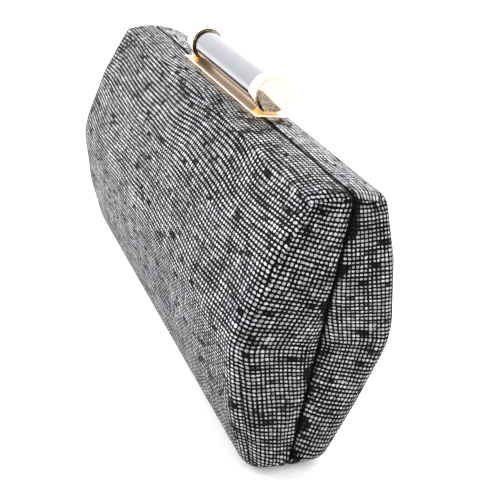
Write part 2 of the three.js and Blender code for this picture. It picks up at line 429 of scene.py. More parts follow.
def form_balls():
    """The balls whose skin is the rounded form of one half: depth, height, radius, pull, at lip, corner."""
    shoulder_height = CASE_HEIGHT - SHOULDER_DROP
    lip_middle = SEAM_GAP / 2 + LIP_RADIUS
    lip_top = (lip_middle, CASE_HEIGHT - LIP_RADIUS, LIP_RADIUS, 1)
    lip_bottom = (lip_middle, LIP_RADIUS, LIP_RADIUS, -1)
    shoulder = (
        SHOULDER_DEPTH / 2 - SHOULDER_RADIUS, shoulder_height - SHOULDER_RADIUS, SHOULDER_RADIUS, 1
    )
    bend = [
        (
            CASE_DEPTH / 2 - BULGE_RADIUS - BULGE_EASE * share * share,
            BULGE_HEIGHT + BULGE_SPREAD * share,
            BULGE_RADIUS,
            0,
        )
        for share in (1, 0.5, 0, -0.5, -1)
    ]
    foot = (FOOT_DEPTH / 2 - FOOT_RADIUS, FOOT_RADIUS, FOOT_RADIUS, -1)

    def between(a, b, crown, up):
        return ((a[0] + b[0]) / 2, (a[1] + b[1]) / 2, (a[2] + b[2]) / 2 + crown, up)

    return (
        (*lip_top, True, TOP_CORNER),
        (*between(lip_top, shoulder, TOP_CROWN, 1), False, TOP_CORNER),
        (*shoulder, False, TOP_CORNER),
        (*between(shoulder, bend[0], UPPER_CROWN, 0), False, 0),
        *[(*ball, False, 0) for ball in bend],
        (*between(bend[-1], foot, LOWER_CROWN, 0), False, 0),
        (*foot, False, 0),
        (*lip_bottom, True, BOTTOM_CORNER),
    )


def form_skin(inset):
    """The closed convex form of the half at positive y, moved in by inset, ready to be touched."""
    ball = []
    for ring in range(1, 16):
        rise = math.pi * ring / 16
        for step in range(32):
            turn = 2 * math.pi * step / 32
            ball.append(
                (math.sin(rise) * math.cos(turn), math.sin(rise) * math.sin(turn), math.cos(rise))
            )
    ball = np.array(ball + [(0, 0, 1), (0, 0, -1)])
    cloud = []
    for depth, height, radius, up, at_lip, corner in form_balls():
        small = max(radius - inset, 0.4)
        pull = inset + small - radius
        middle_depth = -3 if at_lip and inset > 0 else depth - pull
        middle_height = height - pull * up
        end = seam_end(middle_height) if at_lip else panel_end(middle_height)
        reach = end - radius - pull
        for side in (-1, 1):
            for turn in range(7 if corner else 1):
                angle = math.radians(15 * turn)
                x = side * (reach - corner * (1 - math.sin(angle)))
                z = middle_height - up * corner * (1 - math.cos(angle)) if corner else middle_height
                cloud.append(ball * small + np.array((x, middle_depth, z)))
    shape = bmesh.new()
    for point in np.concatenate(cloud):
        shape.verts.new(point)
    bmesh.ops.convex_hull(shape, input=shape.verts, use_existing_faces=False)
    loose = [v for v in shape.verts if not v.link_faces]
    bmesh.ops.delete(shape, geom=loose, context="VERTS")
    bmesh.ops.recalc_face_normals(shape, faces=shape.faces)
    skin = BVHTree.FromBMesh(shape)
    shape.free()
    return skin


def paces(length, fine, coarse, edge):
    """Steps from 0 to length, fine within edge of both ends and coarse between."""
    near = np.linspace(0, edge, round(edge / fine) + 1)
    middle = np.linspace(edge, length - edge, max(2, round((length - 2 * edge) / coarse) + 1))
    return np.concatenate([near, middle[1:-1], length - near[::-1]])


def wave_set(seed, count, longest, shortest, lift):
    """Slow waves over the case, as lists of directions, phases and heights."""
    chance = np.random.default_rng(seed)
    lengths = np.exp(chance.uniform(math.log(shortest), math.log(longest), count))
    turns = chance.normal(size=(count, 3))
    turns /= np.linalg.norm(turns, axis=1)[:, None]
    return turns * (2 * math.pi / lengths)[:, None], chance.uniform(0, 6.28, count), lift * lengths


def waved(points, waves):
    turns, phases, heights = waves
    return (np.sin(points @ turns.T + phases) * heights).sum(1)


outer_skin = form_skin(0)
inner_skin = form_skin(WALL)
shoulder_height = CASE_HEIGHT - SHOULDER_DROP
across = paces(2.0, 0.006, 0.0125, 0.066) - 1.0
lower_rise = paces(BULGE_HEIGHT, 0.6, 1.2, 6)
upper_rise = BULGE_HEIGHT + paces(shoulder_height - BULGE_HEIGHT, 0.6, 1.2, 5)
rise = np.concatenate([lower_rise, upper_rise[1:]])
outward = paces(1.0, 0.04, 0.06, 0.24)
depth_heights = (0, BULGE_HEIGHT, shoulder_height)
depth_values = (FOOT_DEPTH / 2, CASE_DEPTH / 2, SHOULDER_DEPTH / 2)
columns = len(across) - 1
rows = len(rise) - 1
ring = (
    [(i, rows) for i in range(columns)]
    + [(columns, j) for j in range(rows, 0, -1)]
    + [(i, 0) for i in range(columns, 0, -1)]
    + [(0, j) for j in range(rows)]
)
ring_side = ["top"] * columns + ["right"] * rows + ["bottom"] * columns + ["left"] * rows
half_count = SHOULDER_LENGTH / 2 / COLUMN_PITCH


def touched(skin, points):
    """Each point moved to the nearest place on a skin, and the skin's direction there."""
    places = np.empty_like(points)
    ways = np.empty_like(points)
    for n, point in enumerate(points):
        place, way, face, far = skin.find_nearest(Vector(point))
        places[n] = place
        ways[n] = way
    return places, ways


def covered_half(side):
    """The closed shell of one half: outer skin, turned lip and inside, with the print laid over it."""
    grid_x = across[None, :] * np.array([panel_end(h) for h in rise])[:, None]
    grid_z = np.repeat(rise[:, None], len(across), 1)
    grid_y = np.interp(grid_z, depth_heights, depth_values)
    front = np.stack([grid_x, grid_y, grid_z], -1).reshape(-1, 3)
    count = len(front)
    ring_index = np.array([j * (columns + 1) + i for i, j in ring])
    ridge = front[ring_index]
    lip_height = ridge[:, 2] * CASE_HEIGHT / shoulder_height
    lip_x = across[np.array([i for i, j in ring])] * np.array([seam_end(h) for h in lip_height])
    at_slot = (np.abs(lip_x) < HINGE_SLOT_HALF) & (lip_height < 0.1)
    foot_ease = FOOT_LIP_EASE * np.clip(1 - lip_height / 4, 0, 1) * ~at_slot
    lip_y = SEAM_GAP / 2 + LIP_RADIUS + at_slot * (HINGE_SLOT_DEPTH - SEAM_GAP / 2) + foot_ease
    lip = np.stack([lip_x, lip_y, lip_height], -1)
    belt = [ridge + (lip - ridge) * share for share in outward[1:]]
    places, ways = touched(outer_skin, np.concatenate([front] + belt))
    outer_front = places[:count]
    outer_belt = places[count:].reshape(len(belt), -1, 3)
    edge = outer_belt[-1].copy()
    edge[:, 1] = lip_y
    edge_way = ways[count:].reshape(len(belt), -1, 3)[-1].copy()
    edge_way[:, 1] = 0
    edge_way /= np.linalg.norm(edge_way, axis=1)[:, None]
    outer_belt[-1] = edge
    rolled = []
    for turn in LIP_TURNS:
        angle = math.radians(turn)
        row = edge - edge_way * LIP_RADIUS * (1 - math.cos(angle))
        row[:, 1] = lip_y - LIP_RADIUS * math.sin(angle)
        rolled.append(row)
    for turn in INNER_LIP_TURNS:
        angle = math.radians(turn)
        row = edge - edge_way * (LIP_RADIUS + INNER_LIP_RADIUS * math.sin(angle))
        row[:, 1] = lip_y - LIP_RADIUS + INNER_LIP_RADIUS * (1 - math.cos(angle))
        rolled.append(row)
    inner_share = outward[1:-1][::-3]
    inner_from = [ridge + (lip - ridge) * share for share in inner_share] + [front]
    inner_places = touched(inner_skin, np.concatenate(inner_from))[0]
    inner_belt = inner_places[: len(inner_share) * len(ring)].reshape(len(inner_share), -1, 3)
    inner_front = inner_places[len(inner_share) * len(ring):]
    points = np.concatenate(
        [outer_front, outer_belt.reshape(-1, 3), np.concatenate(rolled), inner_belt.reshape(-1, 3)]
        + [inner_front]
    )
    loop = len(ring)
    inner_start = count + loop * (len(belt) + len(rolled) + len(inner_share))
    strips = [ring_index]
    for row in range(len(belt) + len(rolled) + len(inner_share)):
        strips.append(count + row * loop + np.arange(loop))
    strips.append(inner_start + ring_index)
    # The print is laid out by the distance over the skin, so no dab is squeezed where the skin bends.
    warp = [
        waved(
            points * (1, side, 1),
            wave_set(seed, WARP_COUNT, WARP_LONGEST, WARP_SHORTEST, WARP_LIFT),
        )
        for seed in WARP_SEEDS
    ]
    net = outer_front.reshape(rows + 1, columns + 1, 3)
    run = np.cumsum(np.linalg.norm(np.diff(net, axis=1), axis=2), axis=1)
    run = np.concatenate([np.zeros((rows + 1, 1)), run], 1)
    column_net = (run / run[:, -1:] * 2 - 1) * round(half_count)
    climb = np.cumsum(np.linalg.norm(np.diff(net, axis=0), axis=2), axis=0)
    climb = np.concatenate([np.zeros((1, columns + 1)), climb], 0)
    row_net = climb / climb[-1:] * round(PRINT_CLIMB / ROW_PITCH)
    half_shift = BACK_SHIFT if side > 0 else 0
    column_net = column_net + half_shift
    column_at = column_net.reshape(-1) + warp[0][:count]
    row_at = row_net.reshape(-1) + warp[2][:count]
    laid = np.array([outer_front[ring_index]] + list(outer_belt) + rolled)
    steps = np.cumsum(np.linalg.norm(np.diff(laid, axis=0), axis=2), axis=0)
    share_net = np.concatenate([np.zeros((1, loop)), steps], 0) / steps[len(belt) - 1]
    faces = []
    marks = []
    inside = []
    for j in range(rows):
        for i in range(columns):
            a = j * (columns + 1) + i
            corners = (a, a + 1, a + columns + 2, a + columns + 1)
            faces.append(corners)
            marks.append([(column_at[v], row_at[v]) for v in corners])
            inside.append(False)
    span = np.interp(ridge[:, 2], depth_heights, depth_values)
    if side < 0:
        span /= np.interp(ridge[:, 2], *FRONT_END_PITCHES)
        slant = np.interp(ridge[:, 2], *FRONT_END_CLIMB)
    else:
        span /= END_PITCH
        slant = np.interp(ridge[:, 2], *BACK_END_CLIMB)
    fold = np.interp(ridge[:, 2], *END_FOLD)
    share_net = np.concatenate([share_net, np.full((len(strips) - len(share_net), loop), 1.2)], 0)
    shift = {part: place + half_shift for part, place in PANEL_SHIFT.items()}
    printed_rows = len(belt) + len(LIP_TURNS)
    for p in range(loop):
        q = (p + 1) % loop
        part = ring_side[p]
        for k in range(len(strips) - 1):
            corners = (strips[k][p], strips[k][q], strips[k + 1][q], strips[k + 1][p])
            faces.append(tuple(int(v) for v in corners))
            inside.append(k >= printed_rows)
            spots = []
            for v, n, level in ((corners[0], p, k), (corners[1], q, k),
                                (corners[2], q, k + 1), (corners[3], p, k + 1)):
                i, j = ring[n]
                share = share_net[level, n]
                if part in ("top", "bottom"):
                    spots.append(
                        (
                            column_net[j, i] + warp[0][v],
                            shift[part] + TOP_ROWS * share + warp[1][v],
                        )
                    )
                else:
                    spots.append(
                        (
                            shift[part] + span[n] * share + warp[1][v],
                            row_net[j, i] + slant[n] * share - fold[n] * share**3 + warp[2][v],
                        )
                    )
            marks.append(spots)
    for j in range(rows):
        for i in range(columns):
            a = inner_start + j * (columns + 1) + i
            faces.append((a, a + columns + 1, a + columns + 2, a + 1))
            marks.append([(0, 0)] * 4)
            inside.append(True)
    from_lip = np.full(len(points), CLEAR_OF_LIP)
    from_lip[ring_index] = steps[len(belt) - 1]
    for level in range(len(belt)):
        row = count + level * loop
        from_lip[row:row + loop] = steps[len(belt) - 1] - steps[level]
    from_lip[count + len(belt) * loop:inner_start] = 0.0
    on_top = np.isin(ring_side, ("top", "bottom"))
    # On the top and bottom panels the dabs are made larger, more on the back half: painted sheen that
    # lightens the top panels.
    top_sheen_growth = np.zeros(len(points))
    for level in range(printed_rows + 1):
        row = count + level * loop
        from_lip[row:row + loop][on_top] = CLEAR_OF_LIP
        top_sheen_growth[row:row + loop][on_top] = min(1, (level + 1) / 6) * TOP_SHEEN_GROWTH[side]
    # The print fades out over the rolled lip: partly where the print stops at the turned edge, partly
    # painted shade in the seam.
    lip_fade_with_shade = np.zeros(len(points))
    lip_start = count + loop * len(belt)
    for level, share in enumerate(LIP_PRINT_AND_SHADE_FADE):
        lip_fade_with_shade[lip_start + loop * level:lip_start + loop * (level + 1)] = share
    lip_fade_with_shade[lip_start + loop * len(LIP_PRINT_AND_SHADE_FADE):] = 1.0
    points[:, 1] *= side
    if side > 0:
        faces = [tuple(reversed(f)) for f in faces]
        marks = [list(reversed(m)) for m in marks]
    return points, faces, marks, inside, lip_fade_with_shade, from_lip, top_sheen_growth


def scored_print_group():
    """The skin's print: rounded dabs in rows and columns, uneven, run together or missing in places."""
    tree = bpy.data.node_groups.new("scored_print", "ShaderNodeTree")
    group_input(tree, "Grid", "NodeSocketVector")
    group_input(tree, "Place", "NodeSocketVector")
    group_input(tree, "From lip", "NodeSocketFloat", 50.0)
    group_input(tree, "Dab width", "NodeSocketFloat", 0.31)
    group_input(tree, "Dab height", "NodeSocketFloat", 0.27)
    group_input(tree, "Joined rows", "NodeSocketFloat", 0.0)
    group_input(tree, "Joined columns", "NodeSocketFloat", 0.1)
    group_input(tree, "Missing", "NodeSocketFloat", 0.3)
    group_input(tree, "Cracks", "NodeSocketFloat", 0.85)
    tree.interface.new_socket(name="Dab", in_out="OUTPUT", socket_type="NodeSocketFloat")
    tree.interface.new_socket(name="Tone", in_out="OUTPUT", socket_type="NodeSocketFloat")
    start = add_node(tree, "NodeGroupInput")
    end = add_node(tree, "NodeGroupOutput")

    def vector_maths(operation, a, b=None):
        node = add_node(tree, "ShaderNodeVectorMath", {"operation": operation})
        for place, value in enumerate((a, b)):
            if isinstance(value, bpy.types.NodeSocket):
                tree.links.new(value, node.inputs[place])
            elif value is not None:
                node.inputs[place].default_value = value
        return node.outputs[0]

    def soft_step(value, low, high, to_low=0.0, to_high=1.0):
        return ramp(tree, value, low, high, to_low, to_high, "SMOOTHSTEP")

    def cell_noise(across_scale, up_scale, detail=0.0):
        place = vector_maths("MULTIPLY", cell, (across_scale, up_scale, 1.0))
        return noise(tree, place, 1.0, detail).outputs["Fac"]

    # The grid wanders a little from dab to dab.
    wander = noise(tree, start.outputs["Grid"], 0.8, 1.0).outputs["Color"]
    wander = vector_maths("SUBTRACT", wander, (0.5, 0.5, 0.5))
    wander = vector_maths("MULTIPLY", wander, (0.34, 0.34, 0.0))
    fray = noise(tree, start.outputs["Grid"], 3.6, 1.0).outputs["Color"]
    fray = vector_maths("SUBTRACT", fray, (0.5, 0.5, 0.5))
    fray = vector_maths("MULTIPLY", fray, (0.14, 0.14, 0.0))
    grid = vector_maths("ADD", vector_maths("ADD", start.outputs["Grid"], wander), fray)
    cell = vector_maths("FLOOR", grid)
    spot = vector_maths("SUBTRACT", vector_maths("SUBTRACT", grid, cell), (0.5, 0.5, 0.0))
    chance = add_node(tree, "ShaderNodeTexWhiteNoise", {"noise_dimensions": "3D"}, {"Vector": cell})
    luck = add_node(tree, "ShaderNodeSeparateXYZ", None, {"Vector": chance.outputs["Color"]})
    spot_xy = add_node(tree, "ShaderNodeSeparateXYZ", None, {"Vector": spot})

    # Dabs run together along a row or a column, and whole rows or columns come out thin.
    along_row = cell_noise(0.31, 3.71)
    along_column = cell_noise(3.71, 0.27)
    thin_row = cell_noise(0.11, 2.3)
    thin_column = cell_noise(2.3, 0.09)
    row_limit = maths(tree, "MULTIPLY_ADD", start.outputs["Joined rows"], -0.4, 0.78)
    column_limit = maths(tree, "MULTIPLY_ADD", start.outputs["Joined columns"], -0.4, 0.78)
    joins_row = maths(tree, "GREATER_THAN", along_row, row_limit)
    joins_column = maths(tree, "GREATER_THAN", along_column, column_limit)
    width = maths(tree, "MULTIPLY_ADD", luck.outputs["X"], 0.10, start.outputs["Dab width"])
    width = maths(tree, "MULTIPLY", width, soft_step(thin_column, 0.30, 0.55, 0.66, 1.0))
    width = maths(tree, "MULTIPLY_ADD", joins_row, 0.14, width)
    height = maths(tree, "MULTIPLY_ADD", luck.outputs["Y"], 0.10, start.outputs["Dab height"])
    height = maths(tree, "MULTIPLY", height, soft_step(thin_row, 0.30, 0.55, 0.62, 1.0))
    height = maths(tree, "MULTIPLY_ADD", joins_column, 0.14, height)

    # In patches along the rows the dabs are small or missing.
    patch = cell_noise(0.22, 0.62, 1.0)
    patch = maths(tree, "MULTIPLY_ADD", luck.outputs["Z"], 0.05, patch)
    patch_limit = maths(tree, "MULTIPLY_ADD", start.outputs["Missing"], -0.3, 0.84)
    patch_start = maths(tree, "SUBTRACT", patch_limit, 0.13)
    kept = soft_step(patch, patch_start, patch_limit, 1.0, 0.0)
    shrunk = maths(tree, "MULTIPLY_ADD", kept, 0.28, 0.72)
    width = maths(tree, "MULTIPLY", width, shrunk)
    height = maths(tree, "MULTIPLY", height, shrunk)
    side = maths(tree, "DIVIDE", maths(tree, "ABSOLUTE", spot_xy.outputs["X"]), width)
    rise_share = maths(tree, "DIVIDE", maths(tree, "ABSOLUTE", spot_xy.outputs["Y"]), height)
    far = maths(tree, "ADD", maths(tree, "POWER", side, 2.3), maths(tree, "POWER", rise_share, 2.3))
    dab = soft_step(far, 1.45, 0.55)

    # The print stops short of the seam in wedges, and crooked cracks cross the rows.
    wedge = cell_noise(0.17, 0.17)
    wedge = maths(tree, "MULTIPLY_ADD", wedge, 18.0, -10.8)
    beside = maths(tree, "SUBTRACT", start.outputs["From lip"], wedge)
    kept = maths(tree, "MULTIPLY", kept, soft_step(beside, -0.3, 0.3))
    kept = maths(tree, "MULTIPLY_ADD", kept, 0.97, 0.03)
    vein = noise(tree, start.outputs["Place"], 32.0, 3.0).outputs["Fac"]
    vein = maths(tree, "ABSOLUTE", maths(tree, "SUBTRACT", vein, 0.5))
    where = noise(tree, start.outputs["Place"], 21.0, 0.0).outputs["Fac"]
    vein = maths(tree, "ADD", vein, soft_step(where, 0.62, 0.45, 0.0, 0.05))
    crack = soft_step(vein, 0.004, 0.012, 1.0, 0.0)
    crack = maths(tree, "MULTIPLY", crack, start.outputs["Cracks"])
    whole = maths(tree, "SUBTRACT", 1.0, crack)
    dab = maths(tree, "MULTIPLY", dab, kept)
    dab = maths(tree, "MULTIPLY", dab, whole)
    cloud = noise(tree, start.outputs["Place"], 40.0, 2.0).outputs["Fac"]
    tone = maths(tree, "MULTIPLY_ADD", luck.outputs["Z"], 0.50, 0.50)
    tone = maths(tree, "MULTIPLY", tone, soft_step(cloud, 0.35, 0.65, 0.78, 1.0))
    tree.links.new(dab, end.inputs["Dab"])
    tree.links.new(tone, end.inputs["Tone"])
    return tree


scored_print = scored_print_group()
skin_finish, skin_tree, skin_shader = new_finish("printed_skin")
skin_coords = add_node(skin_tree, "ShaderNodeTexCoord")
skin_grid = add_node(skin_tree, "ShaderNodeUVMap", {"uv_map": "rows_and_columns"})


def skin_value(name):
    """A value that is stored at each point of the skin."""
    settings = {"attribute_name": name, "attribute_type": "GEOMETRY"}
    return add_node(skin_tree, "ShaderNodeAttribute", settings).outputs["Fac"]


# Larger dabs on the top panels are painted sheen.
skin_top_sheen = skin_value("top_sheen_dab_growth")
skin_print = add_node(
    skin_tree,
    "ShaderNodeGroup",
    {"node_tree": scored_print},
    {
        "Grid": skin_grid.outputs[0],
        "Place": skin_coords.outputs["Object"],
        "From lip": skin_value("from_lip"),
        "Dab width": maths(skin_tree, "MULTIPLY_ADD", skin_top_sheen, 0.13, 0.31),
        "Dab height": maths(skin_tree, "MULTIPLY_ADD", skin_top_sheen, 0.06, 0.27),
    },
)
# The dabs fade away over the rolled lip, partly as painted shade in the seam.
skin_shown = maths(skin_tree, "SUBTRACT", 1.0, skin_value("turned_in_and_seam_shade"), clamp=True)
skin_dab = maths(skin_tree, "MULTIPLY", skin_print.outputs["Dab"], skin_shown)
skin_dab_tone = maths(skin_tree, "MULTIPLY", skin_dab, skin_print.outputs["Tone"])
skin_tint = tint(skin_tree, skin_dab_tone, (0.004, 0.004, 0.005), (0.66, 0.66, 0.69))
skin_tree.links.new(skin_tint, skin_shader.inputs["Base Color"])
skin_gloss = ramp(skin_tree, skin_dab, 0, 1, 0.55, 0.38)
skin_tree.links.new(skin_gloss, skin_shader.inputs["Roughness"])
skin_tree.links.new(bump(skin_tree, skin_dab, 0.00010, 0.6), skin_shader.inputs["Normal"])
skin_shader.inputs["Specular IOR Level"].default_value = 0.02

lining, lining_tree, lining_shader = new_finish("black_lining")
grain_finish(
    lining, lining_tree, lining_shader,
    (0.008, 0.008, 0.009), (0.016, 0.016, 0.018), 0.7, 0.9, 400, 0.00005,
)
lining_shader.inputs["Sheen Weight"].default_value = 0.2

for half_side, half_body in ((-1, "front"), (1, "back")):
    points, faces, marks, inside, lip_fade_with_shade, from_lip, top_sheen_growth = covered_half(half_side)
    half_mesh = bpy.data.meshes.new(half_body + "_cover")
    half_mesh.from_pydata((points * MM).tolist(), [], faces)
    grid_layer = half_mesh.uv_layers.new(name="rows_and_columns")
    grid_layer.data.foreach_set("uv", np.array(marks, np.float32).reshape(-1))
    for value_name, values in (("turned_in_and_seam_shade", lip_fade_with_shade), ("from_lip", from_lip), ("top_sheen_dab_growth", top_sheen_growth)):
        value_layer = half_mesh.attributes.new(value_name, "FLOAT", "POINT")
        value_layer.data.foreach_set("value", values.astype(np.float32))
    half_mesh.materials.append(skin_finish)
    half_mesh.materials.append(lining)
    half_mesh.polygons.foreach_set("material_index", [int(x) for x in inside])
    half_mesh.polygons.foreach_set("use_smooth", [True] * len(faces))
    half_mesh.update()
    clean_up(half_mesh)
    half = put_in_scene(half_body + "_cover", half_mesh)
    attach(half, half_body)
    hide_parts(half_body + "_shell")

# Case hinge.
# A long steel piano hinge lies in the bottom of the seam and joins the two halves. Its rolled knuckles
# follow each other along one pin, with a hair's gap between them.
HINGE_LENGTH = 150.0
HINGE_RADIUS = 1.3
HINGE_BORE = 0.6
HINGE_PIN_RADIUS = 0.65
HINGE_AXIS_HEIGHT = 1.6
KNUCKLE_COUNT = 15


def turned_mesh(name, profile, around=48):
    """A mesh turned about the X axis from a closed or end-to-end profile of (x, radius) in mm."""
    shape = bmesh.new()
    rings = []
    for x, radius in profile:
        if radius < 1e-6:
            rings.append([shape.verts.new((x * MM, 0, 0))])
            continue
        rings.append(
            [
                shape.verts.new(
                    (
                        x * MM,
                        radius * MM * math.cos(2 * math.pi * n / around),
                        radius * MM * math.sin(2 * math.pi * n / around),
                    )
                )
                for n in range(around)
            ]
        )
    for a, b in zip(rings, rings[1:]):
        for n in range(around):
            corners = [a[n % len(a)], b[n % len(b)], b[(n + 1) % len(b)], a[(n + 1) % len(a)]]
            corners = list(dict.fromkeys(corners))
            shape.faces.new(corners)
    bmesh.ops.recalc_face_normals(shape, faces=shape.faces)
    mesh = bpy.data.meshes.new(name)
    shape.to_mesh(mesh)
    shape.free()
    return mesh


def rounded(x, radius, bend, first, last, steps=5):
    """Profile points round an edge whose middle is (x, radius); angles from the axis, in degrees."""
    angles = np.radians(np.linspace(first, last, steps))
    return [(x + bend * math.cos(a), radius + bend * math.sin(a)) for a in angles]


def bar_profile(half, radius, steps, bore=0.0):
    """The profile of a round bar, or of a tube if it has a bore, with slightly rounded ends."""
    bend = 0.2
    profile = [(-half, bore)]
    profile += rounded(-half + bend, radius - bend, bend, 180, 90, steps)
    profile += rounded(half - bend, radius - bend, bend, 90, 0, steps)
    profile.append((half, bore))
    return profile + [(-half, bore)] if bore else profile


row_tree = shape_tree("same_part_in_a_row")
group_input(row_tree, "Count", "NodeSocketInt", 15)
group_input(row_tree, "Pitch", "NodeSocketFloat", 0.01)
group_input(row_tree, "Material", "NodeSocketMaterial")
row_start = add_node(row_tree, "NodeGroupInput")
row_steps = add_node(row_tree, "GeometryNodeMeshLine", None, {"Count": row_start.outputs["Count"]})
row_way = add_node(row_tree, "ShaderNodeCombineXYZ", None, {"X": row_start.outputs["Pitch"]})
row_tree.links.new(row_way.outputs[0], row_steps.inputs["Offset"])
row_parts = add_node(
    row_tree,
    "GeometryNodeInstanceOnPoints",
    None,
    {"Points": row_steps.outputs[0], "Instance": row_start.outputs["Geometry"]},
)
close_shape_tree(row_tree, row_parts.outputs[0], row_start.outputs["Material"])

knuckle_pitch = HINGE_LENGTH / KNUCKLE_COUNT
knuckle_half = knuckle_pitch / 2 - 0.12
knuckle_mesh = turned_mesh(
    "piano_knuckle", bar_profile(knuckle_half, HINGE_RADIUS, 4, HINGE_BORE), 28
)
piano_hinge = grown_from(
    "piano_hinge",
    knuckle_mesh,
    row_tree,
    {"Count": KNUCKLE_COUNT, "Pitch": knuckle_pitch * MM, "Material": rim_black},
)
hinge_start = -HINGE_LENGTH / 2 + knuckle_pitch / 2
piano_hinge.data.transform(Matrix.Translation((hinge_start * MM, 0, HINGE_AXIS_HEIGHT * MM)))
pin_mesh = turned_mesh("piano_pin", bar_profile(HINGE_LENGTH / 2, HINGE_PIN_RADIUS, 3), 16)
pin_mesh.transform(Matrix.Translation((0, 0, HINGE_AXIS_HEIGHT * MM)))
pin_mesh.materials.append(rim_black)
piano_pin = put_in_scene("piano_pin", pin_mesh)
for hinge_piece in (piano_hinge, piano_pin):
    smooth_by_angle(hinge_piece.data, 40)
    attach(hinge_piece, "front")
    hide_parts("case_hinge")

# Clasp plate.
# A thick gold-plated brass bar with a satin top and a fine bright chamfer lies across the lips of the
# case. Two knuckles are brazed to its back edge, and a low seat of solder holds each cap; the seat's
# deep orange is painted reflection of the gold cap and bar in each other.
PLATE_LENGTH = 75.0
PLATE_WIDTH = 12.4
PLATE_LOW = 106.05
PLATE_TOP = 108.3
PLATE_CHAMFER = 0.25
CLASP_AXIS_Y = 7.7
CLASP_AXIS_Z = 107.1
KNUCKLE_RADIUS = 1.2
KNUCKLE_FROM = 12.3
KNUCKLE_TO = 18.3
ROD_AXIS_Z = 115.1
ROD_RADIUS = 5.8
CAP_RADIUS = 7.0
CAP_INNER = 29.7
CAP_OUTER = 35.9
CAP_SEAT = ((-4.7, -0.04), (-4.6, 0.03), (-4.0, 0.10), (-3.5, 0.24), (-3.1, 0.32))

gold, gold_tree, gold_shader = new_finish("polished_gold")
grain_finish(
    gold, gold_tree, gold_shader,
    (1.0, 0.80, 0.58), (1.0, 0.83, 0.63), 0.05, 0.09, 200, 0.000002,
)
gold_shader.inputs["Metallic"].default_value = 1.0
satin_gold, satin_tree, satin_shader = new_finish("satin_gold")
grain_finish(
    satin_gold, satin_tree, satin_shader,
    (1.0, 0.76, 0.54), (1.0, 0.79, 0.58), 0.34, 0.39, 200, 0.0000003,
)
satin_shader.inputs["Metallic"].default_value = 1.0
# The seat's deep orange is painted reflection of gold on gold where each cap meets the bar.
seat_orange_reflection, seat_reflection_tree, seat_reflection_shader = new_finish("solder_seat_painted_reflection")
grain_finish(
    seat_orange_reflection, seat_reflection_tree, seat_reflection_shader,
    (1.0, 0.56, 0.22), (1.0, 0.63, 0.29), 0.14, 0.22, 400, 0.00001,
)
seat_reflection_shader.inputs["Metallic"].default_value = 1.0


def prism(shape, outline, start, end):
    """A closed outline of (y, z) in mm, drawn out along X from start to end, in a bmesh."""
    first = [shape.verts.new((start * MM, y * MM, z * MM)) for y, z in outline]
    last = [shape.verts.new((end * MM, y * MM, z * MM)) for y, z in outline]
    faces = [shape.faces.new(first), shape.faces.new(last)]
    for n in range(len(outline)):
        m = (n + 1) % len(outline)
        faces.append(shape.faces.new((first[n], first[m], last[m], last[n])))
    bmesh.ops.recalc_face_normals(shape, faces=faces)
    return faces


plate_shape = bmesh.new()
half_width = PLATE_WIDTH / 2
prism(
    plate_shape,
    (
        (-half_width, PLATE_LOW), (half_width, PLATE_LOW),
        (half_width, PLATE_TOP), (-half_width, PLATE_TOP),
    ),
    -PLATE_LENGTH / 2,
    PLATE_LENGTH / 2,
)
top_edges = [
    edge for edge in plate_shape.edges
    if all(v.co.z > (PLATE_TOP - 0.01) * MM for v in edge.verts)
]
bmesh.ops.bevel(
    plate_shape, geom=top_edges, offset=PLATE_CHAMFER * MM, segments=1, profile=0.5,
    affect="EDGES",
)
bmesh.ops.bevel(
    plate_shape,
    geom=[e for e in plate_shape.edges if e.calc_face_angle(0) > 0.3],
    offset=0.05 * MM, segments=2, profile=0.5, affect="EDGES",
)
for face in plate_shape.faces:
    face.material_index = int(face.normal.z > 0.99)
for end in (-1, 1):
    seat = [(y, PLATE_TOP + z) for y, z in CAP_SEAT]
    seat = seat + [(-y, z) for y, z in reversed(seat)]
    for face in prism(plate_shape, seat, end * (CAP_INNER + 0.2), end * (CAP_OUTER - 0.5)):
        face.material_index = 2
    tongue = [(half_width - 0.5, CLASP_AXIS_Z - 0.5), (CLASP_AXIS_Y, CLASP_AXIS_Z - KNUCKLE_RADIUS)]
    for turn in range(-60, 91, 15):
        tongue.append(
            (
                CLASP_AXIS_Y + KNUCKLE_RADIUS * math.cos(math.radians(turn)),
                CLASP_AXIS_Z + KNUCKLE_RADIUS * math.sin(math.radians(turn)),
            )
        )
    tongue += [(half_width - 0.5, CLASP_AXIS_Z + KNUCKLE_RADIUS - 0.5)]
    prism(plate_shape, tongue, end * KNUCKLE_FROM, end * KNUCKLE_TO)
plate_mesh = bpy.data.meshes.new("clasp_bar")
plate_shape.to_mesh(plate_mesh)
plate_shape.free()
plate_mesh.materials.append(gold)
plate_mesh.materials.append(satin_gold)
plate_mesh.materials.append(seat_orange_reflection)
plate = put_in_scene("clasp_bar", plate_mesh)
smooth_by_angle(plate_mesh, 32)
for face in plate_mesh.polygons:
    face.use_smooth = face.area < 2 * MM * MM
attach(plate, "clasp")
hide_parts("clasp_plate")

